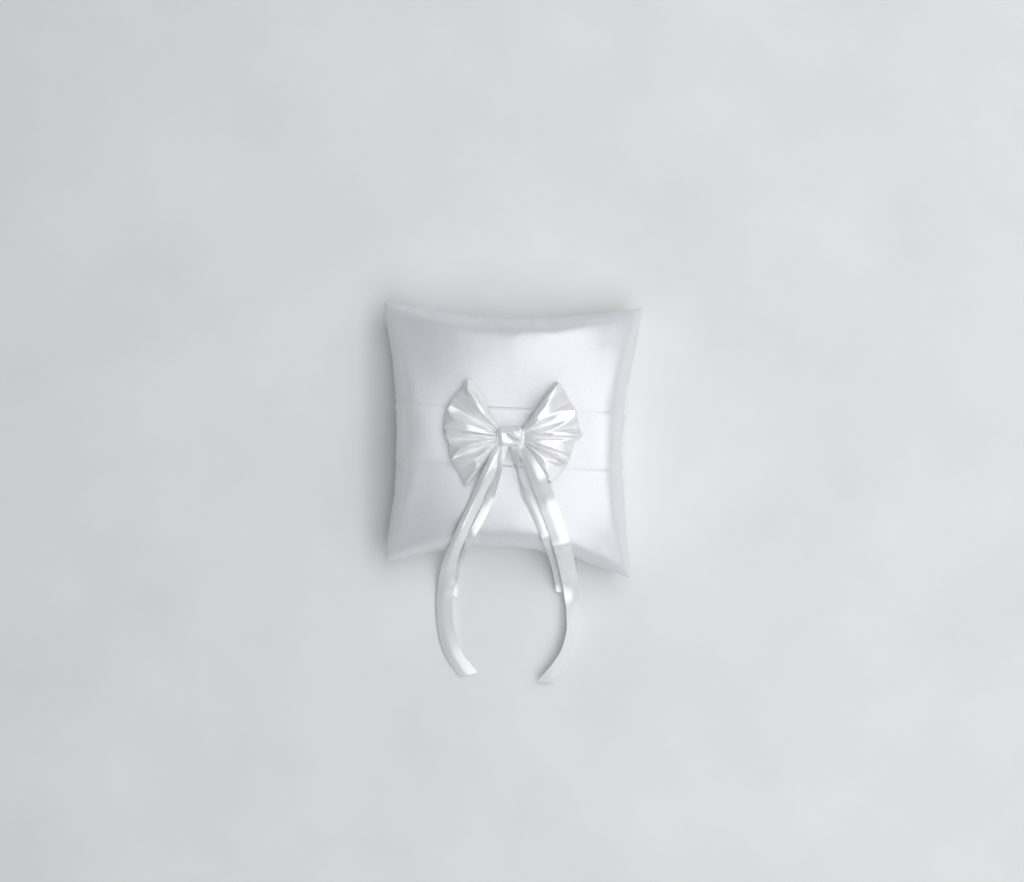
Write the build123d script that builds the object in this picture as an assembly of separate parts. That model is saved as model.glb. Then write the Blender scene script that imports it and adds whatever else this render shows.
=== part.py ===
from build123d import *
import math
import os

os.makedirs("parts", exist_ok=True)

# Ring bearer pillow, millimetres. It lies on its back: +Z goes out of the face with the
# bow, +Y goes to the top edge, and the origin is the middle of the underside.

# ---- driving dimensions ----------------------------------------------------------------
SEAM_Z = 27.0            # height of the edge seam above the table
FACE_RISE = 34.0         # crown of the face above the seam
BACK_DROP = 30.0         # depth of the back below the seam, before it flattens on the table

# Tips of the four ears, going round, and how far each edge bows in between them.
TIP_TOP_LEFT = (-99.0, 99.0)
TIP_TOP_RIGHT = (96.0, 101.0)
TIP_BOTTOM_RIGHT = (94.0, -102.0)
TIP_BOTTOM_LEFT = (-91.0, -97.0)
BOW_IN_TOP = 10.0
BOW_IN_BOTTOM = 16.0
BOW_IN_SIDES = 10.0

SATIN = 0.5              # thickness of the cover, sash and ribbon satin
LINING = 0.4             # thickness of the inner bag's cotton
LAYER_GAP = 0.3          # air between two layers of cloth
SEAM_ALLOWANCE = 3.0     # room at the edge for the turned-in seam and its stitches

SASH_WIDTH = 44.0        # finished width of the sash
SASH_RECESS = 0.9        # how far the flat underside gives way under the sash

BOW_RADIUS = 52.0        # from the middle of the knot to the outer edge of a fan
BOW_NECK_X = 10.3        # where a fan leaves the gathered middle
BOW_HALF_ANGLE = 50.0    # each fan opens this far above and below the middle line
BOW_PLEATS = 5
PLEAT_DEPTH = 7.0        # ridge above valley at the outer edge

KNOT_LENGTH = 20.0       # along X
KNOT_HEIGHT = 16.0       # along Y
KNOT_THICKNESS = 11.0    # along Z
KNOT_WALL = 1.2

TAIL_WIDTH = 13.0
RING_RIBBON_WIDTH = 6.0
RIBBON_THICKNESS = 0.5

FACE_Z = SEAM_Z + FACE_RISE
SASH_TOP_Z = FACE_Z + LAYER_GAP + SATIN


# ---- the padded body -------------------------------------------------------------------
# Each half is one Bezier patch. A patch of this degree whose inner control points are all
# lifted by the same amount reaches CROWN_SHARE of the lift in the middle.
DEGREE = 6
CROWN_SHARE = (1.0 - 2.0 * 0.5 ** DEGREE) ** 2


def bowed_square(u, v, inset, bow_u, bow_v):
    """Place at u, v from 0 to 1 in the square whose edges bow in by the given shares."""
    corners = (TIP_BOTTOM_LEFT, TIP_BOTTOM_RIGHT, TIP_TOP_LEFT, TIP_TOP_RIGHT)
    weights = ((1 - u) * (1 - v), u * (1 - v), (1 - u) * v, u * v)
    x = sum(w * c[0] for w, c in zip(weights, corners))
    y = sum(w * c[1] for w, c in zip(weights, corners))
    x += (BOW_IN_SIDES * bow_v + inset) * (1 - 2 * u)
    y += (BOW_IN_BOTTOM * (1 - v) - BOW_IN_TOP * v) * bow_u + inset * (1 - 2 * v)
    return x, y


def raised_parabola(index):
    """Control value of the patch's degree for the parabola 4 t (1 - t)."""
    return 4.0 * index * (DEGREE - index) / (DEGREE * (DEGREE - 1))


def half_surface(inset, height):
    """One domed patch: the rim lies at the seam and the middle is height above it."""
    lift = height / CROWN_SHARE
    rows = []
    for i in range(DEGREE + 1):
        row = []
        for j in range(DEGREE + 1):
            bow_u = raised_parabola(i)
            bow_v = raised_parabola(j)
            x, y = bowed_square(i / DEGREE, j / DEGREE, inset, bow_u, bow_v)
            on_rim = i in (0, DEGREE) or j in (0, DEGREE)
            row.append((x, y, SEAM_Z if on_rim else SEAM_Z + lift))
        rows.append(row)
    return Face.make_bezier_surface(rows)


def cushion(inset, rise, drop, floor_z):
    """Closed solid of one layer: face dome, back dome, and flat where it meets the table."""
    shell = Shell([half_surface(inset, rise), half_surface(inset, -drop)])
    body = Solid(shell)
    if body.volume < 0:
        body = Solid(-shell)
    table = Pos(0, 0, floor_z - 50) * Box(400, 400, 100)
    return body - table


def slab(z_low, z_high, half_size=200.0):
    """Wide flat block between two heights, for cutting a body in two at the seam."""
    height = z_high - z_low
    return Pos(0, 0, z_low + height / 2) * Box(2 * half_size, 2 * half_size, height)


# How far each layer lies inside the outer face of the cover.
COVER_IN = SATIN
LINING_OUT = COVER_IN + LAYER_GAP
LINING_IN = LINING_OUT + LINING
FILLING_OUT = LINING_IN + LAYER_GAP


# How far each layer's rim lies inside the edge of the pillow.
COVER_RIM = 1.4
LINING_RIM = COVER_RIM + SEAM_ALLOWANCE
LINING_INNER_RIM = LINING_RIM + 1.0
FILLING_RIM = LINING_INNER_RIM + 1.0


def layer(rim_inset, depth, floor_z):
    return cushion(rim_inset, FACE_RISE - depth, BACK_DROP - depth, floor_z)


def split_shell(outer, inner):
    """Hollow shell cut at the seam into its front half and its back half."""
    shell = outer - inner
    front = shell & slab(SEAM_Z, 120)
    back = shell & slab(-50, SEAM_Z)
    return front, back


def make_cover():
    outer = layer(0.0, 0.0, 0.0)
    groove_width = SASH_WIDTH + 2 * LAYER_GAP
    groove = Box(400, groove_width, 2 * SASH_RECESS)
    inner = layer(COVER_RIM, COVER_IN, SASH_RECESS + SATIN)
    return split_shell(outer - groove, inner)


def make_lining():
    floor = SASH_RECESS + SATIN + LAYER_GAP
    outer = layer(LINING_RIM, LINING_OUT, floor)
    inner = layer(LINING_INNER_RIM, LINING_IN, floor + LINING)
    return split_shell(outer, inner)


def make_filling():
    floor = SASH_RECESS + SATIN + LAYER_GAP + LINING + LAYER_GAP
    return layer(FILLING_RIM, FILLING_OUT, floor)


# ---- seam stitches ---------------------------------------------------------------------
STITCH_LENGTH = 2.4
STITCHES_PER_EDGE = 47
PLAIN_END = 5             # the seam is too flat near an ear's tip to hold stitches inside
THREAD = 0.4
CLOSING_HALF_GAP = 32.0   # half the turning gap in the lower edge, closed by hand


def rim_curve(t, inset):
    """Point on the outline, moved inwards; t goes from 0 to 4, one unit for each edge."""
    edge = int(t) % 4
    s = t - int(t)
    u, v = ((s, 0.0), (1.0, s), (1.0 - s, 1.0), (0.0, 1.0 - s))[edge]
    x, y = bowed_square(u, v, inset, 4 * u * (1 - u), 4 * v * (1 - v))
    return Vector(x, y, SEAM_Z)


def seam_stitches():
    """Stitches in the seam allowance: the machine seam, and the hand-closed gap."""
    inset = COVER_RIM + SEAM_ALLOWANCE / 2
    machine = []
    by_hand = []
    for edge in range(4):
        for k in range(PLAIN_END, STITCHES_PER_EDGE - PLAIN_END):
            t = edge + (k + 0.5) / STITCHES_PER_EDGE
            here = rim_curve(t, inset)
            ahead = rim_curve(t + 0.001, inset)
            turn = math.degrees(math.atan2(ahead.Y - here.Y, ahead.X - here.X))
            stitch = Pos(here.X, here.Y, here.Z) * Rot(0, 0, turn) * Box(STITCH_LENGTH, THREAD, THREAD)
            in_gap = edge == 0 and abs(here.X) < CLOSING_HALF_GAP
            (by_hand if in_gap else machine).append(stitch)
    return Compound(machine), Compound(by_hand)


# ---- sash ------------------------------------------------------------------------------
JOIN_STITCHES = 9
JOIN_X = 14.0             # the ends of the sash meet a little off the middle of the back


def make_sash():
    """Closed loop of satin round the pillow, flat on the table underneath."""
    skin = LAYER_GAP + SATIN
    outer = cushion(-COVER_RIM - skin, FACE_RISE + skin, BACK_DROP + skin, 0.0)
    inner = cushion(-COVER_RIM, FACE_RISE + LAYER_GAP, BACK_DROP + LAYER_GAP, SATIN)
    strip = Pos(0, 0, 40) * Box(400, SASH_WIDTH, 160)
    band = (outer - inner) & strip
    pitch = SASH_WIDTH / JOIN_STITCHES
    stitches = []
    for k in range(JOIN_STITCHES):
        y = (k + 0.5) * pitch - SASH_WIDTH / 2
        stitches.append(Pos(JOIN_X, y, SATIN - 0.1) * Box(0.4, 2.6, 0.2))
    join = Compound(stitches)
    for stitch in stitches:
        band = band - stitch
    return band, join


# ---- bow -------------------------------------------------------------------------------
FAN_BACK_Z = SASH_TOP_Z + 0.8     # back of the fans above the sash
LOOP_WALL = 0.7


def fan_station(index, side):
    """Section of a fan in the upright plane along one fold, as a thin C open at the neck."""
    stations = 2 * BOW_PLEATS
    share = index / stations
    angle = math.radians(BOW_HALF_ANGLE * (1 - 2 * share))
    ridge = index % 2 == 1
    reach = BOW_RADIUS - (0.0 if ridge else 3.5)
    neck_y = (KNOT_HEIGHT / 2 - KNOT_WALL - 1.0) * (1 - 2 * share)
    neck = Vector(side * BOW_NECK_X, neck_y, 0)
    tip = Vector(side * reach * math.cos(angle), reach * math.sin(angle), 0)
    outward = (tip - neck).normalized()
    top_tip = FAN_BACK_Z + 3.2 + (PLEAT_DEPTH if ridge else 0.0)
    top_neck = FAN_BACK_Z + 6.2 + (0.8 if ridge else 0.0)
    wall_in = outward * LOOP_WALL
    up = Vector(0, 0, 1)
    return [
        neck + up * top_neck,
        tip + up * top_tip,
        tip + up * FAN_BACK_Z,
        neck + up * (FAN_BACK_Z + 1.6),
        neck + up * (FAN_BACK_Z + 1.6 + LOOP_WALL),
        tip - wall_in + up * (FAN_BACK_Z + LOOP_WALL),
        tip - wall_in + up * (top_tip - LOOP_WALL),
        neck + up * (top_neck - LOOP_WALL),
    ]


def make_fan(side):
    """One loop of the bow: pleated front layer, outer fold and back layer in one piece."""
    stations = [fan_station(i, side) for i in range(2 * BOW_PLEATS + 1)]
    corners = len(stations[0])
    faces = []
    for near, far in zip(stations, stations[1:]):
        for k in range(corners):
            m = (k + 1) % corners
            faces.append(Face(Wire.make_polygon([near[k], near[m], far[m]])))
            faces.append(Face(Wire.make_polygon([near[k], far[m], far[k]])))
    for end in (stations[0], stations[-1]):
        faces.append(Face(Wire.make_polygon(end)))
    fan = Solid(Shell(faces))
    return fan if fan.volume > 0 else Solid(Shell([-f for f in faces]))


KNOT_Z = FAN_BACK_Z + 5.0


def rounded_bar(length, height, thickness, radius):
    """Bar along X with rounded long edges."""
    section = Plane.YZ * RectangleRounded(height, thickness, radius)
    return Pos(-length / 2, 0, KNOT_Z) * extrude(section, length)


def make_knot_wrap():
    outer = rounded_bar(KNOT_LENGTH, KNOT_HEIGHT, KNOT_THICKNESS, 4.5)
    inner = rounded_bar(
        KNOT_LENGTH + 2, KNOT_HEIGHT - 2 * KNOT_WALL, KNOT_THICKNESS - 2 * KNOT_WALL, 3.5
    )
    return outer - inner - tack_bars(TACK_RADIUS + 0.05)


def make_waist_and_thread():
    """Gathered middle of the bow with the thread wound round a groove in it."""
    length = 2 * BOW_NECK_X - 2 * LAYER_GAP
    waist = rounded_bar(
        length, KNOT_HEIGHT - 2 * KNOT_WALL - 0.8, KNOT_THICKNESS - 2 * KNOT_WALL - 0.8, 3.0
    )
    groove_length = 3.2
    core = rounded_bar(
        groove_length, KNOT_HEIGHT - 2 * KNOT_WALL - 2.4, KNOT_THICKNESS - 2 * KNOT_WALL - 2.4, 2.2
    )
    thread_outer = rounded_bar(
        groove_length - 0.4, KNOT_HEIGHT - 2 * KNOT_WALL - 1.0, KNOT_THICKNESS - 2 * KNOT_WALL - 1.0, 2.9
    )
    groove = rounded_bar(groove_length, KNOT_HEIGHT, KNOT_THICKNESS, 3.0) - core
    thread = thread_outer - rounded_bar(
        groove_length, KNOT_HEIGHT - 2 * KNOT_WALL - 2.2, KNOT_THICKNESS - 2 * KNOT_WALL - 2.2, 2.3
    )
    return waist - groove - tack_bars(TACK_RADIUS + 0.05), thread


TACK_RADIUS = 0.25


def tack_bars(radius):
    """Four short upright stitches, from the sash up into the gathered middle."""
    low = SASH_TOP_Z + 0.05
    high = KNOT_Z - 1.5
    bars = [Pos(x, 0, (low + high) / 2) * Cylinder(radius, high - low) for x in (-8, -5, 5, 8)]
    return Compound(bars)


# ---- tails -----------------------------------------------------------------------------
# Side view of a ribbon from the knot to its end, as y and z of its underside: over the
# lower pleats, down the slope of the pillow, off its edge and along the table.
HINGE_Y = -KNOT_HEIGHT / 2 - 1.0
TABLE_CLEARANCE = 0.6
TAIL_SIDE_VIEW = (
    (HINGE_Y, KNOT_Z + 3.0),
    (-17.0, FAN_BACK_Z + 12.0),
    (-36.0, FAN_BACK_Z + 11.2),
    (-50.0, 58.0),
    (-60.0, 51.0),
    (-70.0, 44.5),
    (-80.0, 37.5),
    (-88.0, 31.5),
    (-96.0, 22.0),
    (-104.0, 11.0),
    (-112.0, 3.5),
    (-120.0, TABLE_CLEARANCE),
)

# Plan of each ribbon from the knot to its end, as x and y of its middle and its width
# there. A wide tail is gathered in the knot and turns partly on edge beside the narrow one.
TAIL_LEFT_PLAN = ((-12.2, HINGE_Y, 4.6), (-16.5, -24, 9), (-23, -44, 9), (-29, -57, 9),
                  (-36.6, -76, 8), (-42.5, -91, 8), (-47.5, -111, 9), (-49, -133, TAIL_WIDTH),
                  (-47, -152, TAIL_WIDTH), (-41, -171, TAIL_WIDTH), (-26, -186, TAIL_WIDTH))
TAIL_RIGHT_PLAN = ((11, HINGE_Y, 5), (22.5, -30, 11), (29.8, -47, TAIL_WIDTH),
                   (36.2, -65, TAIL_WIDTH), (41.2, -80.5, TAIL_WIDTH), (48.4, -104, 12),
                   (52.3, -130, 12), (51.5, -149, TAIL_WIDTH), (46, -168, TAIL_WIDTH),
                   (33.5, -188, TAIL_WIDTH))
RING_LEFT_PLAN = ((-6, HINGE_Y, 5), (-7.2, -18, RING_RIBBON_WIDTH),
                  (-11.6, -39.5, RING_RIBBON_WIDTH), (-18.5, -58, RING_RIBBON_WIDTH),
                  (-28.2, -78, RING_RIBBON_WIDTH), (-34, -92, RING_RIBBON_WIDTH),
                  (-38, -107, RING_RIBBON_WIDTH), (-38.6, -125, RING_RIBBON_WIDTH))
RING_RIGHT_PLAN = ((4.2, HINGE_Y, 5), (4.3, -20, RING_RIBBON_WIDTH),
                   (8.8, -37, RING_RIBBON_WIDTH), (18, -51, RING_RIBBON_WIDTH),
                   (25.4, -67, RING_RIBBON_WIDTH), (32.8, -87, RING_RIBBON_WIDTH),
                   (38, -106, RING_RIBBON_WIDTH), (41, -119, RING_RIBBON_WIDTH))


def ribbon(plan, end_slant):
    """Thin strip: the side view's thickness cut to the plan's outline."""
    lower = list(TAIL_SIDE_VIEW)
    lower.append((plan[-1][1] - 20.0, TABLE_CLEARANCE))
    upper = [(y + n[0] * RIBBON_THICKNESS, z + n[1] * RIBBON_THICKNESS)
             for (y, z), n in zip(lower, side_normals(lower))]
    side = Wire.make_polygon([(-100, y, z) for y, z in lower + upper[::-1]])
    sheet = extrude(Face(side), 200, dir=(1, 0, 0))
    left = [(x - width / 2, y, 0) for x, y, width in plan]
    right = [(x + width / 2, y, 0) for x, y, width in plan]
    left[-1] = (left[-1][0], left[-1][1] + end_slant, 0)
    right[-1] = (right[-1][0], right[-1][1] - end_slant, 0)
    outline = Wire([
        Spline(left),
        Line(left[-1], right[-1]),
        Spline(right[::-1]),
        Line(right[0], left[0]),
    ])
    return sheet & extrude(Face(outline), 120, dir=(0, 0, 1))


def side_normals(points):
    """Unit normals, pointing up, of a line of (y, z) points that runs to -y."""
    result = []
    for i in range(len(points)):
        before = points[max(i - 1, 0)]
        after = points[min(i + 1, len(points) - 1)]
        dy = after[0] - before[0]
        dz = after[1] - before[1]
        size = math.hypot(dy, dz)
        result.append((dz / size, -dy / size))
    return result


# ---- write the nodes -------------------------------------------------------------------
def main():
    cover_front, cover_back = make_cover()
    lining_front, lining_back = make_lining()
    machine_seam, hand_seam = seam_stitches()
    sash_band, sash_join = make_sash()
    waist, thread = make_waist_and_thread()
    nodes = {
        "cover_front": cover_front,
        "cover_back": cover_back,
        "lining_front": lining_front,
        "lining_back": lining_back,
        "fibre_filling": make_filling(),
        "edge_seam_stitches": machine_seam,
        "closing_stitches": hand_seam,
        "sash_band": sash_band,
        "sash_join_stitches": sash_join,
        "bow_loop_left": make_fan(-1),
        "bow_loop_right": make_fan(1),
        "bow_waist": waist,
        "gathering_thread": thread,
        "knot_wrap": make_knot_wrap(),
        "bow_tack_stitches": tack_bars(TACK_RADIUS),
        "tail_left": ribbon(TAIL_LEFT_PLAN, -3.0),
        "tail_right": ribbon(TAIL_RIGHT_PLAN, 3.0),
        "ring_ribbon_left": ribbon(RING_LEFT_PLAN, 2.0),
        "ring_ribbon_right": ribbon(RING_RIGHT_PLAN, -2.0),
    }
    for name, shape in nodes.items():
        export_step(shape, f"parts/{name}.step")
        print(name, round(shape.volume, 2), "mm3")


main()
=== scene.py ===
import math

import bpy
import numpy as np
from mathutils import Matrix, Vector, noise
from mathutils.bvhtree import BVHTree


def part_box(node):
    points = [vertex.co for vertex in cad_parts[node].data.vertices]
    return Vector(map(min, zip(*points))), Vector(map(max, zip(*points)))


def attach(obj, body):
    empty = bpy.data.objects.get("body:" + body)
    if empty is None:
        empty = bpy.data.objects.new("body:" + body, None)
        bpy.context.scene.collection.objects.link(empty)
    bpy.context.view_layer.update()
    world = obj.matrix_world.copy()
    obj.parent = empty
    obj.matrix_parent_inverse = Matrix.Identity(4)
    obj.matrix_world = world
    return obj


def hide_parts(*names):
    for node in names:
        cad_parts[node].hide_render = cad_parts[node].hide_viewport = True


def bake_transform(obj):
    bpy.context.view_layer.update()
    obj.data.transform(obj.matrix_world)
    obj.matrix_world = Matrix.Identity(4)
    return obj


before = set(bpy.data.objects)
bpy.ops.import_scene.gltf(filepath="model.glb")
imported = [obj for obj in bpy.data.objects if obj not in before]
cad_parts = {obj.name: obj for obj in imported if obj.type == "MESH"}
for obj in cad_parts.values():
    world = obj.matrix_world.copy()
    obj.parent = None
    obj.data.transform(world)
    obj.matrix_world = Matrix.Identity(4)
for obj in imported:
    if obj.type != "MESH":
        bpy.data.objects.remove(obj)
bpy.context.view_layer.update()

# ---- Table, light and camera ----------------------------------------------------------
# The pillow lies on its back on a pale matt table, and is seen from straight above the
# bow, turned a little. A large soft light hangs to the right and another overhead, and a
# weak one stands low on the left. The room is pale low down and dim above.
bpy.ops.object.select_all(action="DESELECT")
bpy.ops.mesh.primitive_plane_add(size=7.0, location=(0.0, 0.0, 0.0))
table = bpy.context.object
table.name = "table"

plaster = bpy.data.materials.new("pale_table")
plaster.use_nodes = True
nodes = plaster.node_tree.nodes
links = plaster.node_tree.links
shader = nodes["Principled BSDF"]
shader.inputs["Roughness"].default_value = 0.85
place = nodes.new("ShaderNodeTexCoord")
mottle = nodes.new("ShaderNodeTexNoise")
mottle.inputs["Scale"].default_value = 9.0
mottle.inputs["Detail"].default_value = 8.0
links.new(place.outputs["Object"], mottle.inputs["Vector"])
shade = nodes.new("ShaderNodeValToRGB")
shade.color_ramp.elements[0].position = 0.3
shade.color_ramp.elements[0].color = (0.83, 0.83, 0.825, 1.0)
shade.color_ramp.elements[1].position = 0.7
shade.color_ramp.elements[1].color = (0.90, 0.895, 0.885, 1.0)
links.new(mottle.outputs["Fac"], shade.inputs["Fac"])
links.new(shade.outputs["Color"], shader.inputs["Base Color"])
table.data.materials.append(plaster)

world = bpy.data.worlds.new("soft_room")
world.use_nodes = True
room = world.node_tree.nodes
direction = room.new("ShaderNodeTexCoord")
split = room.new("ShaderNodeSeparateXYZ")
world.node_tree.links.new(direction.outputs["Generated"], split.inputs["Vector"])
walls = room.new("ShaderNodeValToRGB")
walls.color_ramp.elements[0].position = 0.16
walls.color_ramp.elements[0].color = (0.50, 0.51, 0.52, 1.0)
walls.color_ramp.elements[1].position = 0.36
walls.color_ramp.elements[1].color = (0.105, 0.11, 0.115, 1.0)
world.node_tree.links.new(split.outputs["Z"], walls.inputs["Fac"])
world.node_tree.links.new(walls.outputs["Color"], room["Background"].inputs["Color"])
bpy.context.scene.world = world
bpy.context.scene.view_settings.view_transform = "Standard"


def soft_light(name, place, target, width, height, power, colour):
    """Rectangular soft light that faces the target."""
    bpy.ops.object.light_add(type="AREA", location=place)
    light = bpy.context.object
    light.name = name
    light.data.shape = "RECTANGLE"
    light.data.size = width
    light.data.size_y = height
    light.data.energy = power
    light.data.color = colour
    aim = Vector(target) - Vector(place)
    light.rotation_euler = aim.to_track_quat("-Z", "Y").to_euler()
    return light


soft_light("window", (1.65, 0.0, 1.95), (0.0, 0.0, 0.03), 3.6, 1.5, 18.0, (1.0, 0.985, 0.965))
soft_light("ceiling", (0.45, 0.0, 1.80), (0.0, 0.0, 0.0), 3.8, 1.4, 31.0, (0.95, 0.975, 1.0))
soft_light("left_wall", (-1.70, 0.0, 0.30), (0.0, 0.0, 0.03), 1.0, 0.3, 0.4, (1.0, 0.97, 0.97))

bpy.ops.object.camera_add(location=(0.00124, -0.0030, 1.324))
camera = bpy.context.object
camera.name = "camera"
camera.data.lens = 60.0
camera.data.sensor_width = 36.0
camera.rotation_euler = (0.0, 0.0, math.radians(1.9))
bpy.context.scene.camera = camera

# ---- Cover ----------------------------------------------------------------------------
# Two square panels of heavy white satin, sewn together all round with the right sides in,
# then turned and filled. The filling is blown into the flat bag by cloth simulation, and
# the seam is drawn in between the four ears.
cover_low, cover_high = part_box("cover_front")
SEAM_Z = cover_low.z
FACE_TOP_Z = cover_high.z
SEWN_SIZE = 0.203
PANEL_CELLS = 64
START_DOME = 0.002        # the panels start domed by this much, so that they part
UNDER_SASH_Z = 0.0012     # the back lies this far above the table, with the sash below it

panels = []
for side in (1.0, -1.0):
    bpy.ops.object.select_all(action="DESELECT")
    bpy.ops.mesh.primitive_grid_add(
        x_subdivisions=PANEL_CELLS, y_subdivisions=PANEL_CELLS, size=SEWN_SIZE
    )
    panel = bpy.context.object
    for v in panel.data.vertices:
        u = v.co.x / SEWN_SIZE + 0.5
        w = v.co.y / SEWN_SIZE + 0.5
        v.co.z = side * 16 * START_DOME * max(0.0, u * (1.0 - u) * w * (1.0 - w))
    if side < 0.0:
        panel.data.flip_normals()
    panels.append(panel)
bpy.ops.object.select_all(action="DESELECT")
for panel in panels:
    panel.select_set(True)
bpy.context.view_layer.objects.active = panels[0]
bpy.ops.object.join()
cover = bpy.context.object
cover.name = "satin_cover"
bpy.ops.object.mode_set(mode="EDIT")
bpy.ops.mesh.select_all(action="SELECT")
bpy.ops.mesh.remove_doubles(threshold=1e-5)
bpy.ops.object.mode_set(mode="OBJECT")


def points_of(obj):
    """The places of a mesh's vertices, one row each."""
    co = np.zeros(len(obj.data.vertices) * 3)
    obj.data.vertices.foreach_get("co", co)
    return co.reshape(-1, 3)


def set_points(obj, points):
    """Moves a mesh's vertices to these places."""
    obj.data.vertices.foreach_set("co", points.reshape(-1))
    obj.data.update()


sewn = points_of(cover)
cover_u = sewn[:, 0] / SEWN_SIZE + 0.5
cover_w = sewn[:, 1] / SEWN_SIZE + 0.5
cover_side = np.sign(np.where(np.abs(sewn[:, 2]) < 1e-7, 0.0, sewn[:, 2]))

cloth = cover.modifiers.new("filling_pressure", "CLOTH")
cloth.settings.quality = 6
cloth.settings.mass = 0.3
cloth.settings.tension_stiffness = 20.0
cloth.settings.compression_stiffness = 5.0
cloth.settings.shear_stiffness = 5.0
cloth.settings.bending_stiffness = 0.5
cloth.settings.use_pressure = True
cloth.settings.uniform_pressure_force = 6.0
cloth.settings.effector_weights.gravity = 0.0
last_frame = 18
cloth.point_cache.frame_start = 1
cloth.point_cache.frame_end = last_frame
for step in range(1, last_frame + 1):
    bpy.context.scene.frame_set(step)
bpy.ops.object.select_all(action="DESELECT")
cover.select_set(True)
bpy.context.view_layer.objects.active = cover
bpy.ops.object.modifier_apply(modifier=cloth.name)
puffed = points_of(cover)
bpy.context.scene.frame_set(1)

# Where the ear tips and the edge middles of the filled pillow end up, by their place
# across and up the panel. The stuffed edges draw in, and the lower right ear hangs longest.
EARS = {
    (0, 0): (-0.094, -0.100),
    (1, 0): (0.096, -0.106),
    (0, 1): (-0.101, 0.101),
    (1, 1): (0.0985, 0.1025),
}
MIDDLES = {
    (0.5, 0): (0.001, -0.0835),
    (0.5, 1): (-0.003, 0.090),
    (0, 0.5): (-0.0855, 0.0),
    (1, 0.5): (0.0845, 0.0),
}
RIM = {**EARS, **MIDDLES}


def edge_weights(u, w):
    """Weights of the four ears and four edge middles at u, w across the panel."""
    a = 2.0 * u - 1.0
    b = 2.0 * w - 1.0
    weights = {}
    for iu, iw in EARS:
        sa = 2 * iu - 1
        sb = 2 * iw - 1
        weights[(iu, iw)] = 0.25 * (1 + sa * a) * (1 + sb * b) * (sa * a + sb * b - 1)
    weights[(0.5, 0)] = 0.5 * (1 - a * a) * (1 - b)
    weights[(0.5, 1)] = 0.5 * (1 - a * a) * (1 + b)
    weights[(0, 0.5)] = 0.5 * (1 - b * b) * (1 - a)
    weights[(1, 0.5)] = 0.5 * (1 - b * b) * (1 + a)
    return weights


weights = edge_weights(cover_u, cover_w)
shift = np.zeros((len(puffed), 2))
for key, goal in RIM.items():
    nearest = np.argmin(np.abs(cover_u - key[0]) + np.abs(cover_w - key[1]))
    shift += weights[key][:, None] * (np.array(goal) - puffed[nearest, :2])
filled = puffed.copy()
filled[:, :2] += shift
BACK_SQUASH = 0.003       # the back would hang this far below the table, so it flattens
height = puffed[:, 2]
face = height * (FACE_TOP_Z - SEAM_Z) / height.max()
back = height * (SEAM_Z + BACK_SQUASH) / -height.min()
filled[:, 2] = SEAM_Z + np.where(height > 0, face, back)

# The seam puckers and the face has a faint waviness, both from the satin's own stiffness.
PUCKER_HEIGHT = 0.0030
WAVE_HEIGHT = 0.0011
from_side = np.minimum(cover_u, 1 - cover_u)
from_end = np.minimum(cover_w, 1 - cover_w)
edge_gap = np.minimum(from_side, from_end) * SEWN_SIZE
along = np.where(from_side < from_end, cover_w, cover_u)
pucker = np.array([noise.noise((t * 24.0, s * 3.0, 7.0)) for t, s in zip(along, cover_side)])
strength = np.exp(-edge_gap / 0.010) * np.clip(edge_gap / 0.003, 0, 1)
filled[:, 2] += PUCKER_HEIGHT * pucker * strength * cover_side
wave = np.array([
    noise.noise((x * 26.0, y * 26.0, s * 2.0))
    for x, y, s in zip(sewn[:, 0], sewn[:, 1], cover_side)
])
inner = np.clip(edge_gap / 0.02, 0, 1)
filled[:, 2] += WAVE_HEIGHT * wave * inner * (cover_side > 0)

# The ears droop. Their tips are blunt from the corner's turned-in cloth, the lower two more
# so, and hold a little filling. ear and tip run from 0 to 1 toward each corner.
EAR_DROOP = 0.004
ear = np.clip(1 - 4 * from_side, 0, 1) * np.clip(1 - 4 * from_end, 0, 1)
tip = np.clip(1 - 11 * from_side, 0, 1) * np.clip(1 - 11 * from_end, 0, 1)
filled[:, 2] -= EAR_DROOP * ear ** 1.5
lower = cover_w < 0.5
blunt = np.where(lower, 0.004, 0.001)
filled[:, :2] *= (1 - blunt * tip ** 1.5)[:, None]
stuffing = np.where(lower, 0.0024, 0.0012) * np.clip(edge_gap / 0.004, 0, 1)
filled[:, 2] += cover_side * stuffing * ear ** 2

# The back is level where it rests, and leaves the table in a soft curve.
BACK_CURVE = 0.004        # height over which it curves away from the table
BACK_LIFT = 0.0015        # the most that the curve raises it
low = filled[:, 2] - UNDER_SASH_Z
curved = BACK_CURVE * np.exp(np.minimum(low, BACK_CURVE) / BACK_CURVE - 1)
eased = np.minimum(np.where(low > BACK_CURVE, low, curved), np.maximum(low, 0) + BACK_LIFT)
filled[:, 2] = UNDER_SASH_Z + np.where(low < 0.0, 0.0, eased)
set_points(cover, filled)
inner_mesh = cover.data.copy()
inner_middle = SEAM_Z - EAR_DROOP * ear ** 1.5


def smooth(obj):
    """Smooth shading on every face."""
    for polygon in obj.data.polygons:
        polygon.use_smooth = True


def crisp(obj, degrees):
    """Smooth shading that stops at edges sharper than this."""
    bpy.ops.object.select_all(action="DESELECT")
    obj.select_set(True)
    bpy.context.view_layer.objects.active = obj
    bpy.ops.object.shade_smooth_by_angle(angle=math.radians(degrees))


def finish_with(obj, kind, **settings):
    """Adds one modifier with these settings and applies it."""
    bpy.ops.object.select_all(action="DESELECT")
    obj.select_set(True)
    bpy.context.view_layer.objects.active = obj
    modifier = obj.modifiers.new(kind.lower(), kind)
    for key, value in settings.items():
        setattr(modifier, key, value)
    bpy.ops.object.modifier_apply(modifier=modifier.name)


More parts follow.
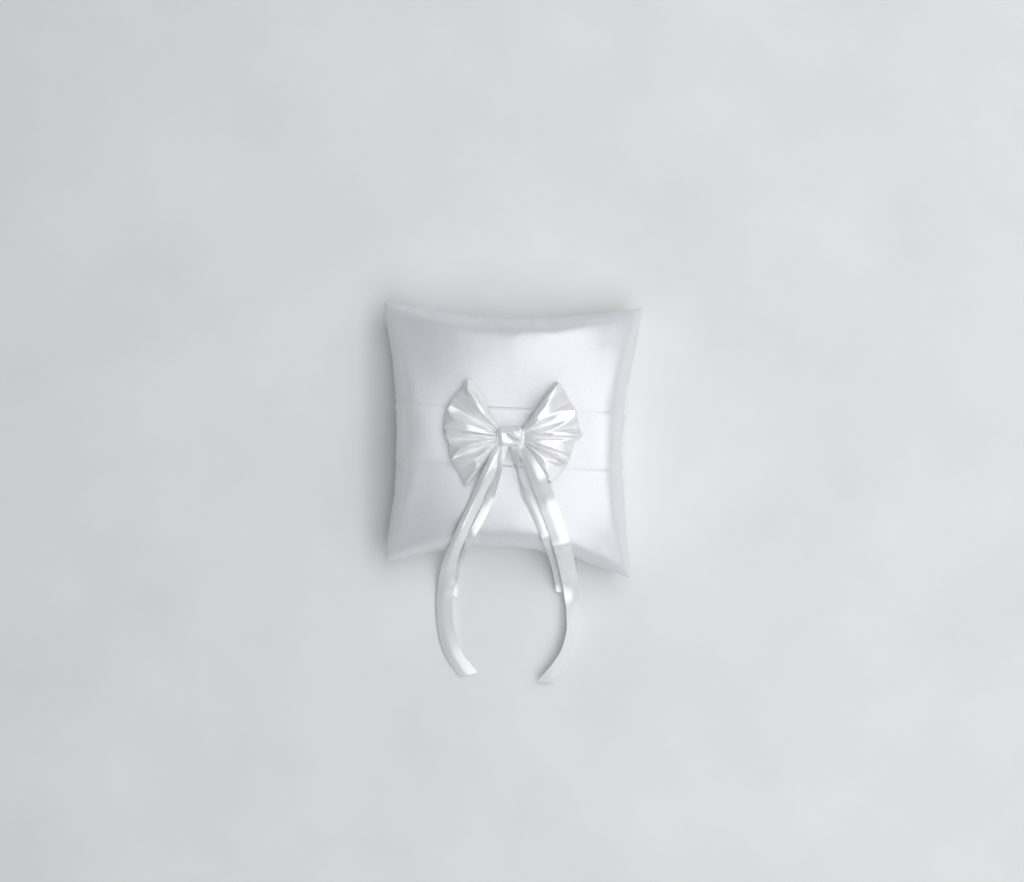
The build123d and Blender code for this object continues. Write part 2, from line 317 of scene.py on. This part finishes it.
# The seam stays a fairly sharp edge, except at the ear tips, where the cloth is bunched.
SEAM_SHARPNESS = 0.75
sharp_seam = cover.data.attributes.new("crease_edge", "FLOAT", "EDGE")
for edge in cover.data.edges:
    a, b = edge.vertices
    if edge_gap[a] < 1e-6 and edge_gap[b] < 1e-6:
        bunched = min(1.0, 2.0 * max(tip[a], tip[b]))
        sharp_seam.data[edge.index].value = SEAM_SHARPNESS * (1 - bunched)
finish_with(cover, "SUBSURF", levels=1, render_levels=1)
smooth(cover)


def satin(name, colour, roughness, grain_scale, grain_stretch, bump, warp):
    """Satin cloth: long float threads one way, so the gloss is drawn out across them."""
    material = bpy.data.materials.new(name)
    material.use_nodes = True
    nodes = material.node_tree.nodes
    links = material.node_tree.links
    shader = nodes["Principled BSDF"]
    shader.inputs["Roughness"].default_value = roughness
    shader.inputs["Sheen Weight"].default_value = 0.05
    shader.inputs["Metallic"].default_value = 0.22
    shader.inputs["Sheen Roughness"].default_value = 0.4
    shader.inputs["Specular IOR Level"].default_value = 0.5
    shader.inputs["Anisotropic"].default_value = 0.45
    place = nodes.new("ShaderNodeTexCoord")
    stretch = nodes.new("ShaderNodeMapping")
    stretch.inputs["Scale"].default_value = grain_stretch
    links.new(place.outputs["Object"], stretch.inputs["Vector"])
    grain = nodes.new("ShaderNodeTexNoise")
    grain.inputs["Scale"].default_value = grain_scale
    grain.inputs["Detail"].default_value = 4.0
    grain.inputs["Roughness"].default_value = 0.7
    links.new(stretch.outputs["Vector"], grain.inputs["Vector"])
    ramp = nodes.new("ShaderNodeValToRGB")
    ramp.color_ramp.elements[0].position = 0.25
    ramp.color_ramp.elements[0].color = tuple(c * (1 - warp) for c in colour) + (1.0,)
    ramp.color_ramp.elements[1].position = 0.75
    ramp.color_ramp.elements[1].color = tuple(min(1.0, c * (1 + warp)) for c in colour) + (1.0,)
    links.new(grain.outputs["Fac"], ramp.inputs["Fac"])
    links.new(ramp.outputs["Color"], shader.inputs["Base Color"])
    relief = nodes.new("ShaderNodeBump")
    relief.inputs["Strength"].default_value = bump
    relief.inputs["Distance"].default_value = 0.0002
    links.new(grain.outputs["Fac"], relief.inputs["Height"])
    links.new(relief.outputs["Normal"], shader.inputs["Normal"])
    return material


ACROSS_WEFT = (0.5, 1.6, 1.0)
cover_satin = satin("white_cover_satin", (0.83, 0.845, 0.87), 0.38, 900.0, ACROSS_WEFT, 0.35, 0.05)
cover.data.materials.clear()
cover.data.materials.append(cover_satin)
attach(cover, "pillow")
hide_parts("cover_front", "cover_back")

# ---- Inner bag and filling -------------------------------------------------------------
# A thin cotton bag just inside the satin keeps the filling in, and the filling is one
# lofty block of polyester fibre. Both take the shape of the filled cover.


def inner_copy(name, depth, rim, lumps):
    """The cover's shape moved inwards, for a layer inside it."""
    layer = bpy.data.objects.new(name, inner_mesh.copy())
    bpy.context.scene.collection.objects.link(layer)
    points = filled.copy()
    points[:, :2] *= 1.0 - rim / 0.095
    height = points[:, 2] - inner_middle
    thin = np.sign(height) * np.maximum(np.abs(height) - depth, np.abs(height) * 0.55)
    if lumps > 0.0:
        bumps = np.array([noise.noise(Vector(p) * 60.0) for p in points])
        thin -= np.sign(height) * np.minimum(lumps * np.abs(bumps), np.abs(thin) * 0.3)
    points[:, 2] = inner_middle + thin
    set_points(layer, points)
    finish_with(layer, "SUBSURF", levels=1, render_levels=1)
    smooth(layer)
    return layer


def plain_cloth(name, colour, roughness, scale, bump):
    """Matt fibre or thread with a fine mottled grain."""
    material = bpy.data.materials.new(name)
    material.use_nodes = True
    nodes = material.node_tree.nodes
    links = material.node_tree.links
    shader = nodes["Principled BSDF"]
    shader.inputs["Roughness"].default_value = roughness
    shader.inputs["Sheen Weight"].default_value = 0.3
    place = nodes.new("ShaderNodeTexCoord")
    grain = nodes.new("ShaderNodeTexNoise")
    grain.inputs["Scale"].default_value = scale
    grain.inputs["Detail"].default_value = 6.0
    links.new(place.outputs["Object"], grain.inputs["Vector"])
    ramp = nodes.new("ShaderNodeValToRGB")
    ramp.color_ramp.elements[0].color = tuple(c * 0.88 for c in colour) + (1.0,)
    ramp.color_ramp.elements[1].color = tuple(colour) + (1.0,)
    links.new(grain.outputs["Fac"], ramp.inputs["Fac"])
    links.new(ramp.outputs["Color"], shader.inputs["Base Color"])
    relief = nodes.new("ShaderNodeBump")
    relief.inputs["Strength"].default_value = bump
    relief.inputs["Distance"].default_value = 0.0003
    links.new(grain.outputs["Fac"], relief.inputs["Height"])
    links.new(relief.outputs["Normal"], shader.inputs["Normal"])
    return material


inner_bag = inner_copy("cotton_inner_bag", 0.0011, 0.0030, 0.0)
inner_bag.data.materials.clear()
inner_bag.data.materials.append(plain_cloth("bag_cotton", (0.85, 0.84, 0.80), 0.9, 1400.0, 0.4))
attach(inner_bag, "pillow")
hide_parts("lining_front", "lining_back")

filling = inner_copy("polyester_filling", 0.0024, 0.0050, 0.0012)
filling.data.materials.clear()
filling.data.materials.append(plain_cloth("filling_fibre", (0.93, 0.93, 0.92), 1.0, 300.0, 0.8))
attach(filling, "pillow")
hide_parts("fibre_filling")

# ---- Seam stitches ---------------------------------------------------------------------
# White polyester thread: machine stitches all round, just inside the turned edge, and a
# short row of slip stitches where the turning gap in the lower edge was closed by hand.
STITCH_LENGTH = 0.0024
THREAD = 0.00035
SEAM_INSET = 0.0026       # the stitches lie this far inside the turned edge
HALF_GAP = 0.032          # half the turning gap in the lower edge
STITCHES_PER_EDGE = 47    # counted to the ear tips; the first and last five don't fit inside
END_STITCHES = 5
depsgraph = bpy.context.evaluated_depsgraph_get()
cover_tree = BVHTree.FromObject(cover, depsgraph)


def stitch_row(name, places):
    """Short lengths of thread joined into one mesh; a place is (point, direction)."""
    stitches = []
    for point, direction in places:
        bpy.ops.object.select_all(action="DESELECT")
        bpy.ops.mesh.primitive_cylinder_add(vertices=6, radius=THREAD / 2, depth=STITCH_LENGTH)
        stitch = bpy.context.object
        turn = Vector(direction).to_track_quat("Z", "Y").to_matrix().to_4x4()
        stitch.data.transform(Matrix.Translation(point) @ turn)
        stitches.append(stitch)
    bpy.ops.object.select_all(action="DESELECT")
    for stitch in stitches:
        stitch.select_set(True)
    bpy.context.view_layer.objects.active = stitches[0]
    bpy.ops.object.join()
    row = bpy.context.object
    row.matrix_world = Matrix.Identity(4)
    row.name = name
    smooth(row)
    return row


def rim_point(edge, t, inset):
    """Point just inside the seam; edge 0 is the lower one, going round to the right."""
    u, w = ((t, 0.0), (1.0, t), (1.0 - t, 1.0), (0.0, 1.0 - t))[edge]
    weights = edge_weights(u, w)
    x = sum(weights[key] * goal[0] for key, goal in RIM.items())
    y = sum(weights[key] * goal[1] for key, goal in RIM.items())
    return Vector((x * (1 - inset / 0.09), y * (1 - inset / 0.09), SEAM_Z))


machine_places = []
hand_places = []
for edge in range(4):
    for k in range(END_STITCHES, STITCHES_PER_EDGE - END_STITCHES):
        t = (k + 0.5) / STITCHES_PER_EDGE
        point = rim_point(edge, t, SEAM_INSET)
        ahead = rim_point(edge, t + 0.004, SEAM_INSET)
        if edge == 0 and abs(point.x) < HALF_GAP:
            hand_places.append((point, ahead - point))
        else:
            machine_places.append((point, ahead - point))
thread_white = plain_cloth("sewing_thread", (0.9, 0.9, 0.9), 0.6, 2500.0, 0.3)
for name, places, node in (
    ("machine_seam_stitches", machine_places, "edge_seam_stitches"),
    ("closing_slip_stitches", hand_places, "closing_stitches"),
):
    row = stitch_row(name, places)
    row.data.materials.append(thread_white)
    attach(row, "pillow")
    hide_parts(node)

# ---- Sash ------------------------------------------------------------------------------
# One strip of the same satin with both long edges folded under, drawn once round the
# pillow over the side seams, and joined behind. It spans the hollows and lies close.
SASH_WIDTH = 0.0445
SASH_TILT = -0.0144       # it slopes a little down to the right
SASH_AROUND = 220
SASH_ACROSS = 20
SASH_LIFT = 0.00075
HEM = 0.00040             # extra thickness where each long edge is folded under
HEM_FROM = 0.40           # the hem starts this share of the width from the middle line


def surface_out(direction, y, tree):
    """Where a ray from the pillow's middle, at this y, leaves the surface."""
    start = Vector((0.0, y, SEAM_Z + 0.002)) + Vector(direction) * 0.3
    hit = tree.ray_cast(start, -Vector(direction))
    return hit[0]


bpy.ops.object.select_all(action="DESELECT")
bpy.ops.mesh.primitive_grid_add(x_subdivisions=SASH_AROUND, y_subdivisions=SASH_ACROSS, size=1.0)
sash = bpy.context.object
sash.name = "satin_sash"
for v in sash.data.vertices:
    turn = (v.co.x + 0.5) * 2 * math.pi
    across = v.co.y
    direction = Vector((0.086 * math.cos(turn), 0.0, 0.030 * math.sin(turn))).normalized()
    y = -0.0002 + SASH_TILT * 0.085 * math.cos(turn) + SASH_WIDTH * across
    point = surface_out(direction, y, cover_tree)
    near_edge = max(0.0, (abs(across) - 0.46) / 0.04)
    folded_under = 1 - near_edge ** 2
    if abs(across) > HEM_FROM:
        hem = HEM * folded_under
    else:
        hem = HEM * max(0.0, (abs(across) - HEM_FROM + 0.04) / 0.04)
    ripple = 0.0003 * noise.noise((math.cos(turn) * 3.0, across * 6.0, 3.0 + math.sin(turn)))
    lift = (SASH_LIFT + 0.0001) * folded_under - 0.0001 + hem
    lift += max(0.0, ripple) * max(0.0, math.sin(turn))
    v.co = point + direction * lift
    v.co.z = max(v.co.z, 0.0004 + 0.3 * hem)
bpy.ops.object.mode_set(mode="EDIT")
bpy.ops.mesh.select_all(action="SELECT")
bpy.ops.mesh.remove_doubles(threshold=1e-5)
bpy.ops.mesh.normals_make_consistent(inside=False)
bpy.ops.object.mode_set(mode="OBJECT")
finish_with(sash, "SOLIDIFY", thickness=0.0002, offset=0.0)
crisp(sash, 50)
sash_satin = satin("white_sash_satin", (0.835, 0.85, 0.87), 0.37, 900.0, ACROSS_WEFT, 0.3, 0.05)
sash.data.materials.append(sash_satin)
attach(sash, "pillow")
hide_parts("sash_band")

# ---- Sash join -------------------------------------------------------------------------
# The sash's two ends meet behind the pillow, a little off its middle line. Nine small hand
# stitches of white polyester thread hold them together.
join_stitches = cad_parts["sash_join_stitches"]
join_stitches.data.materials.clear()
join_stitches.data.materials.append(thread_white)

# ---- Bow loops -------------------------------------------------------------------------
# Each side of the bow is one loop of crisp satin: gathered at the knot, opened out in
# pleats like a fan, and folded back at the outer edge to the layer behind.
knot_low, knot_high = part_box("knot_wrap")
KNOT_Z = (knot_low.z + knot_high.z) / 2
BOW_BACK_Z = 0.0632       # height at which the back layer leaves the knot
NECK_X = 0.0074           # where a loop comes out from under the wrap
NECK_HALF = 0.0040        # half its gathered width there
TIP_DROOP = 0.0030        # an outer tip sinks this much under its own weight
CELLS_PER_CREASE = 8
LOOP_ALONG = 32

# Creases of each loop from the top edge to the bottom: the angle from the middle line in
# degrees, then in millimetres how far out the front layer turns over, how high it stands
# there and halfway out, and how far out the fold behind it reaches.
LEFT_CREASES = (
    (54.0, 50.0, 3.0, 6.0, 50.5), (50.8, 52.6, 10.0, 11.5, 53.2), (46.0, 47.5, 12.2, 12.8, 52.4),
    (41.2, 40.8, 12.6, 12.8, 51.4), (32.0, 50.6, 9.0, 9.0, 52.0), (26.0, 50.4, 8.0, 7.2, 51.8),
    (21.5, 50.8, 9.0, 9.0, 51.8), (14.7, 43.0, 12.6, 12.6, 51.6), (6.5, 49.6, 11.5, 13.0, 50.2),
    (4.0, 47.6, 7.0, 8.5, 49.2), (0.5, 47.4, 10.8, 11.6, 48.4), (-4.5, 46.0, 8.4, 7.8, 46.9),
    (-9.4, 45.0, 10.8, 11.6, 46.3), (-13.5, 36.6, 12.6, 12.5, 47.0), (-23.0, 46.8, 9.8, 9.0, 47.4),
    (-28.0, 43.5, 11.0, 11.5, 47.2), (-35.6, 30.8, 12.4, 12.4, 47.2), (-44.5, 33.5, 10.5, 9.5, 48.6),
    (-48.1, 49.2, 6.0, 8.0, 50.0), (-51.5, 47.0, 2.0, 4.0, 47.5),
)
RIGHT_CREASES = (
    (53.0, 51.5, 3.0, 5.0, 52.0), (49.9, 53.3, 8.0, 11.5, 54.0), (43.8, 44.2, 10.0, 13.0, 53.6),
    (32.9, 35.2, 11.0, 12.5, 52.3), (24.3, 52.0, 8.0, 9.5, 52.7), (19.2, 49.4, 8.0, 8.5, 52.4),
    (10.2, 32.0, 11.0, 12.5, 52.7), (3.5, 53.4, 8.0, 11.0, 53.8), (0.8, 48.0, 7.5, 9.5, 51.0),
    (-3.5, 38.0, 10.0, 11.5, 48.4), (-13.4, 46.1, 9.0, 12.8, 46.9), (-17.8, 45.4, 7.0, 8.5, 46.8),
    (-22.5, 45.0, 9.0, 12.8, 46.9), (-25.2, 42.0, 7.0, 8.5, 46.8), (-30.8, 30.5, 10.0, 10.5, 46.8),
    (-41.0, 36.5, 8.0, 8.0, 45.8), (-46.3, 45.0, 5.0, 7.0, 45.6), (-50.0, 42.0, 2.0, 4.0, 42.6),
)


def bow_loop(name, side, creases, fold_z):
    """One pleated loop: the front layer out to where it turns, over the fold, and back
    behind; fold_z is how high the fold stands at the back."""
    last = len(creases) - 1
    bpy.ops.object.select_all(action="DESELECT")
    bpy.ops.mesh.primitive_grid_add(
        x_subdivisions=LOOP_ALONG, y_subdivisions=CELLS_PER_CREASE * last, size=1.0
    )
    loop = bpy.context.object
    loop.name = name
    for v in loop.data.vertices:
        s = v.co.x + 0.5
        share = (0.5 - v.co.y) * last
        k = min(int(share + 1e-6), last - 1)
        f = min(1.0, max(0.0, share - k))
        bend = 0.55 * f + 0.45 * f * f * (3 - 2 * f)
        a, b = creases[k], creases[k + 1]
        angle = math.radians(a[0] + (b[0] - a[0]) * f)
        reach = 0.001 * (a[1] + (b[1] - a[1]) * f)
        tip = 0.001 * (a[2] + (b[2] - a[2]) * bend)
        middle = 0.001 * (a[3] + (b[3] - a[3]) * bend)
        outer = 0.001 * (a[4] + (b[4] - a[4]) * f)
        across = 1.0 - 2.0 * share / last
        neck = Vector((NECK_X, NECK_HALF * across, 0.0))
        neck_z = 0.0044 + 0.0018 * (1 - across * across)
        far = Vector((math.cos(angle), math.sin(angle), 0.0))
        low_fold = min(fold_z, tip)
        if s <= 0.5:
            t = 1 - (1 - s / 0.5) ** 1.3
            plan = neck.lerp(far * reach, t)
            z = neck_z * 2 * (t - 0.5) * (t - 1) + middle * 4 * t * (1 - t) + tip * 2 * t * (t - 0.5)
            z = max(z, 0.0022)
        elif s <= 0.75:
            t = ((s - 0.5) / 0.25) ** 1.3
            plan = (far * reach).lerp(far * outer, t)
            z = tip + (low_fold - tip) * t
        else:
            t = (s - 0.75) / 0.25
            plan = (far * outer).lerp(neck, t)
            z = low_fold * max(0.0, 1 - 3 * t) + 0.0006 * min(1.0, 3 * t)
            z += 0.0022 * max(0.0, t - 0.5) / 0.5
        droop = TIP_DROOP * (plan.length / 0.05) ** 2
        flutter = 0.0004 * noise.noise((plan.x * 110.0 * side, plan.y * 110.0, side * 4.0))
        near_knot = max(0.0, 1.0 - (plan.length - 0.0075) / 0.016)
        if s <= 0.5:
            flutter += 0.0007 * near_knot * math.sin(share * math.pi * 1.5)
        v.co = Vector((side * plan.x, plan.y, BOW_BACK_Z + z - droop + flutter))
    finish_with(loop, "SUBSURF", levels=1, render_levels=1)
    finish_with(loop, "SOLIDIFY", thickness=0.00028, offset=0.0)
    if side < 0.0:
        loop.data.flip_normals()
    crisp(loop, 50)
    return loop


bow_satin = satin("white_bow_satin", (0.93, 0.92, 0.93), 0.24, 1100.0, (1.0, 1.0, 1.0), 0.08, 0.02)
for name, side, creases, fold_z, node in (
    ("bow_fan_left", -1.0, LEFT_CREASES, 0.0020, "bow_loop_left"),
    ("bow_fan_right", 1.0, RIGHT_CREASES, 0.0042, "bow_loop_right"),
):
    fan = bow_loop(name, side, creases, fold_z)
    fan.data.materials.append(bow_satin)
    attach(fan, "pillow")
    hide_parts(node)

# ---- Bow middle ------------------------------------------------------------------------
# The loops are gathered tight, wound with thread and tacked to the sash. A soft strip of
# satin is tied over the middle, and its crease runs slanting across the knot.
KNOT_HALF_LENGTH = 0.0092
KNOT_HALF_WIDTH = 0.0078
KNOT_HALF_DEPTH = 0.0062
KNOT_LIFT = 0.0016        # the wrap's middle stands this far above the gathered waist's
CREASE_HEIGHT = 0.0014

for node, material in (
    ("bow_waist", bow_satin),
    ("gathering_thread", thread_white),
    ("bow_tack_stitches", thread_white),
):
    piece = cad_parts[node]
    piece.data.materials.clear()
    piece.data.materials.append(material)

bpy.ops.object.select_all(action="DESELECT")
bpy.ops.mesh.primitive_cylinder_add(vertices=16, radius=1.0, depth=1.0, end_fill_type="NOTHING")
knot = bpy.context.object
knot.name = "knot_wrap_satin"
bpy.ops.object.mode_set(mode="EDIT")
bpy.ops.mesh.select_all(action="SELECT")
bpy.ops.mesh.subdivide(number_cuts=19)
bpy.ops.object.mode_set(mode="OBJECT")
for v in knot.data.vertices:
    turn = math.atan2(v.co.y, v.co.x)
    along = 2.0 * v.co.z
    closing_in = max(0.0, (abs(along) - 0.72) / 0.28) ** 1.6
    waist = 1.0 - 0.06 * math.cos(along * math.pi / 2) - 0.36 * closing_in
    round_y = math.copysign(abs(math.sin(turn)) ** 0.8, math.sin(turn))
    round_z = math.copysign(abs(math.cos(turn)) ** 0.65, math.cos(turn))
    x = KNOT_HALF_LENGTH * along * (1 + 0.06 * math.sin(turn))
    y = KNOT_HALF_WIDTH * waist * round_y
    z = KNOT_HALF_DEPTH * waist * round_z
    ridge_y = 0.0036 - 0.5 * max(0.0, x + 0.003) + 0.1 * min(0.0, x + 0.003)
    slant = y - ridge_y
    crease = CREASE_HEIGHT * math.exp(-abs(slant) / 0.0012)
    crease -= 0.0003 * math.exp(-((slant + 0.0036) / 0.0018) ** 2)
    folds = 0.00012 * math.sin(x * 700.0 + y * 500.0)
    if z > 0:
        z += (crease + folds) * min(1.0, z / 0.003)
    v.co = Vector((x, y, KNOT_Z + KNOT_LIFT + z))
bpy.ops.object.mode_set(mode="EDIT")
bpy.ops.mesh.select_all(action="SELECT")
bpy.ops.mesh.remove_doubles(threshold=1e-6)
bpy.ops.mesh.normals_make_consistent(inside=False)
bpy.ops.object.mode_set(mode="OBJECT")
knot.matrix_world = Matrix.Identity(4)
finish_with(knot, "SOLIDIFY", thickness=0.0006, offset=-1.0)
finish_with(knot, "SUBSURF", levels=1, render_levels=1)
smooth(knot)
knot.data.materials.append(bow_satin)
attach(knot, "pillow")
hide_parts("knot_wrap")

# ---- Wide tails ------------------------------------------------------------------------
# Two lengths of 13 mm satin ribbon knotted in behind the wrap. They fall over the lower
# pleats and off the pillow's edge, turn as they go, and end in a slanting cut.
TAIL_WIDTH = 0.013
RIBBON_THICKNESS = 0.00022
ROUTE_STEPS = 14          # rows of mesh between two points of a route
CUT_ROWS = 7              # the slanting cut takes up this many rows at the end
EASE_ROWS = 9             # a raised stretch is eased over this many rows each way


def smooth_route(points, steps):
    """Points along one smooth NURBS line with these control points."""
    data = bpy.data.curves.new("route", "CURVE")
    data.dimensions = "3D"
    data.resolution_u = steps
    spline = data.splines.new("NURBS")
    spline.points.add(len(points) - 1)
    for control, point in zip(spline.points, points):
        control.co = (*point, 1.0)
    spline.order_u = 3
    spline.use_endpoint_u = True
    holder = bpy.data.objects.new("route", data)
    line_mesh = bpy.data.meshes.new_from_object(holder)
    line = [Vector(v.co) for v in line_mesh.vertices]
    bpy.data.meshes.remove(line_mesh)
    bpy.data.objects.remove(holder)
    bpy.data.curves.remove(data)
    return line


sash_tree = BVHTree.FromObject(sash, bpy.context.evaluated_depsgraph_get())


def ground_under(x, y):
    """Height of the table, cover or sash, whichever is on top at this place."""
    height = 0.0
    for tree in (cover_tree, sash_tree):
        hit = tree.ray_cast(Vector((x, y, 0.2)), Vector((0.0, 0.0, -1.0)))
        if hit[0] is not None:
            height = max(height, hit[0].z)
    return height


def lay_on_pillow(route, clear):
    """The route raised where it would run into the pillow."""
    return [(x, y, max(z, ground_under(x, y) + clear)) for x, y, z in route]


def value_at(values, share):
    """Value at this share of the way along a list of even steps, eased between them."""
    where = share * (len(values) - 1)
    k = min(int(where), len(values) - 2)
    f = where - k
    return values[k] + (values[k + 1] - values[k]) * f * f * (3 - 2 * f)


def ribbon_strip(name, points, rolls, tents, widths, ridge, end_slant):
    """Ribbon along a route: its roll, how steep its two sides fall from a lengthwise
    ridge (both in degrees) and its width, each given at even steps along it."""
    line = smooth_route(points, ROUTE_STEPS)
    count = len(line)
    lengths = [0.0]
    for a, b in zip(line, line[1:]):
        lengths.append(lengths[-1] + (b - a).length)
    total = lengths[-1]

    bpy.ops.object.select_all(action="DESELECT")
    bpy.ops.mesh.primitive_grid_add(x_subdivisions=count - 1, y_subdivisions=12, size=1.0)
    strip = bpy.context.object
    strip.name = name
    rows = [round((v.co.x + 0.5) * (count - 1)) for v in strip.data.vertices]
    for v, i in zip(strip.data.vertices, rows):
        share = lengths[i] / total
        roll = math.radians(value_at(rolls, share))
        tent = math.radians(value_at(tents, share))
        width = value_at(widths, share)
        ahead = (line[min(i + 1, count - 1)] - line[max(i - 1, 0)]).normalized()
        level = Vector((0.0, 0.0, 1.0)).cross(ahead)
        level = level.normalized() if level.length > 0.05 else Vector((1.0, 0.0, 0.0))
        up = ahead.cross(level).normalized()
        out = level * math.cos(roll) + up * math.sin(roll)
        face = ahead.cross(out).normalized()
        d = (v.co.y - ridge) * width
        place = line[i] + out * (d * math.cos(tent))
        place -= face * ((math.hypot(d, 0.0012) - 0.0012) * math.sin(tent))
        into_cut = i - (count - 1 - CUT_ROWS)
        if into_cut > 0:
            place += ahead * (v.co.y * end_slant * into_cut / CUT_ROWS)
        v.co = place

    # Where a row would sink into the cloth, the ribbon rises clear of it in a gentle slope.
    raised = [0.0] * count
    for v, i in zip(strip.data.vertices, rows):
        raised[i] = max(raised[i], ground_under(v.co.x, v.co.y) + 0.0008 - v.co.z)
    spans = [slice(max(0, i - EASE_ROWS), i + EASE_ROWS + 1) for i in range(count)]
    reach = [max(raised[span]) for span in spans]
    eased = [sum(reach[span]) / len(reach[span]) for span in spans]
    for v, i in zip(strip.data.vertices, rows):
        v.co.z += eased[i]
    line = [point + Vector((0.0, 0.0, eased[i])) for i, point in enumerate(line)]
    finish_with(strip, "SOLIDIFY", thickness=RIBBON_THICKNESS, offset=0.0)
    crisp(strip, 50)
    return strip, line, total


ribbon_white = (0.93, 0.92, 0.93)
ribbon_satin = satin("white_ribbon_satin", ribbon_white, 0.28, 1200.0, (1.0, 1.0, 1.0), 0.12, 0.025)

TAIL_LEFT_ROUTE = (
    (-0.0060, -0.0050, 0.0690), (-0.0095, -0.0110, 0.0735), (-0.0140, -0.0210, 0.0765),
    (-0.0190, -0.0330, 0.0740), (-0.0240, -0.0450, 0.0630), (-0.0290, -0.0570, 0.0560),
    (-0.0345, -0.0700, 0.0480), (-0.0400, -0.0830, 0.0375), (-0.0440, -0.0940, 0.0260),
    (-0.0465, -0.1050, 0.0130), (-0.0480, -0.1180, 0.0060), (-0.0485, -0.1320, 0.0040),
    (-0.0470, -0.1470, 0.0040), (-0.0435, -0.1620, 0.0038), (-0.0370, -0.1750, 0.0030),
    (-0.0270, -0.1860, 0.0018),
)
TAIL_LEFT_ROLLS = (0.0, 5.0, 5.0, 5.0, 5.0, 5.0, 5.0, 7.0, 10.0, 13.0, 15.0, 16.0, 15.0, 13.0,
                   10.0, 6.0)
TAIL_LEFT_TENTS = (10.0, 30.0, 45.0, 50.0, 50.0, 48.0, 45.0, 45.0, 40.0, 28.0, 14.0, 8.0, 8.0,
                   8.0, 8.0, 8.0)
TAIL_LEFT_WIDTHS = (0.006, 0.009) + (TAIL_WIDTH,) * 14
TAIL_RIGHT_ROUTE = (
    (0.0060, -0.0050, 0.0690), (0.0110, -0.0120, 0.0735), (0.0170, -0.0215, 0.0765),
    (0.0220, -0.0320, 0.0745), (0.0275, -0.0440, 0.0645), (0.0325, -0.0560, 0.0570),
    (0.0370, -0.0680, 0.0500), (0.0415, -0.0810, 0.0395), (0.0450, -0.0920, 0.0280),
    (0.0485, -0.1040, 0.0140), (0.0515, -0.1170, 0.0060), (0.0528, -0.1320, 0.0040),
    (0.0522, -0.1470, 0.0042), (0.0490, -0.1620, 0.0042), (0.0425, -0.1760, 0.0032),
    (0.0335, -0.1885, 0.0018),
)
TAIL_RIGHT_ROLLS = (0.0, 10.0, 12.0, 6.0, 0.0, 0.0, 0.0, 0.0, -4.0, -10.0, -20.0, -42.0, -58.0,
                    -58.0, -48.0, -30.0)
TAIL_RIGHT_TENTS = (5.0, 12.0, 15.0, 14.0, 10.0, 8.0, 8.0, 8.0, 8.0, 8.0, 8.0, 5.0, 5.0, 5.0, 5.0,
                    5.0)
TAIL_RIGHT_WIDTHS = (0.006, 0.009, 0.012) + (TAIL_WIDTH,) * 13

LEFT_LIE = (TAIL_LEFT_ROLLS, TAIL_LEFT_TENTS, TAIL_LEFT_WIDTHS)
RIGHT_LIE = (TAIL_RIGHT_ROLLS, TAIL_RIGHT_TENTS, TAIL_RIGHT_WIDTHS)

for name, body, route, (rolls, tents, widths), ridge, slant in (
    ("wide_tail_left", "tail_left", TAIL_LEFT_ROUTE, LEFT_LIE, -0.10, 0.006),
    ("wide_tail_right", "tail_right", TAIL_RIGHT_ROUTE, RIGHT_LIE, 0.0, -0.006),
):
    route = lay_on_pillow(route, 0.0025)
    tail, line, total = ribbon_strip(name, route, rolls, tents, widths, ridge, slant)
    tail.data.materials.append(ribbon_satin)
    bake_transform(tail)
    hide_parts(body)

# ---- Ring ribbons ----------------------------------------------------------------------
# Two lengths of 6 mm satin ribbon from the middle of the knot, for tying on a ring each.
# They lie over the face between the wide tails and end just past the lower edge.
RING_LEFT_ROUTE = (
    (-0.0035, -0.0050, 0.0695), (-0.0062, -0.0120, 0.0735), (-0.0075, -0.0205, 0.0750),
    (-0.0095, -0.0300, 0.0725), (-0.0120, -0.0400, 0.0650), (-0.0150, -0.0500, 0.0590),
    (-0.0195, -0.0600, 0.0535), (-0.0245, -0.0700, 0.0470), (-0.0295, -0.0795, 0.0390),
    (-0.0335, -0.0880, 0.0310), (-0.0370, -0.0960, 0.0210), (-0.0390, -0.1050, 0.0110),
    (-0.0398, -0.1150, 0.0060), (-0.0400, -0.1240, 0.0045),
)
RING_RIGHT_ROUTE = (
    (0.0030, -0.0050, 0.0695), (0.0042, -0.0120, 0.0735), (0.0046, -0.0205, 0.0750),
    (0.0070, -0.0300, 0.0725), (0.0110, -0.0390, 0.0655), (0.0158, -0.0480, 0.0600),
    (0.0208, -0.0570, 0.0550), (0.0255, -0.0665, 0.0490), (0.0297, -0.0765, 0.0415),
    (0.0335, -0.0860, 0.0325), (0.0370, -0.0950, 0.0225), (0.0395, -0.1040, 0.0120),
    (0.0412, -0.1120, 0.0065), (0.0422, -0.1185, 0.0048),
)
RING_LEFT_ROLLS = (0.0, 10.0, 25.0, 15.0, 0.0, -10.0, -10.0, 0.0, 10.0, 15.0, 15.0, 10.0, 5.0, 0.0)
RING_RIGHT_ROLLS = (0.0, 30.0, 75.0, 60.0, 20.0, 10.0, 5.0, 0.0, 0.0, 0.0, 0.0, -5.0, -10.0, -10.0)
RING_WIDTH = 0.006

for name, body, route, rolls in (
    ("ring_ribbon_left_satin", "ring_ribbon_left", RING_LEFT_ROUTE, RING_LEFT_ROLLS),
    ("ring_ribbon_right_satin", "ring_ribbon_right", RING_RIGHT_ROUTE, RING_RIGHT_ROLLS),
):
    widths = (RING_WIDTH,) * len(rolls)
    tents = (8.0,) * len(rolls)
    route = lay_on_pillow(route, 0.0015)
    ribbon, line, total = ribbon_strip(name, route, rolls, tents, widths, 0.0, 0.002)
    ribbon.data.materials.append(ribbon_satin)
    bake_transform(ribbon)
    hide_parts(body)
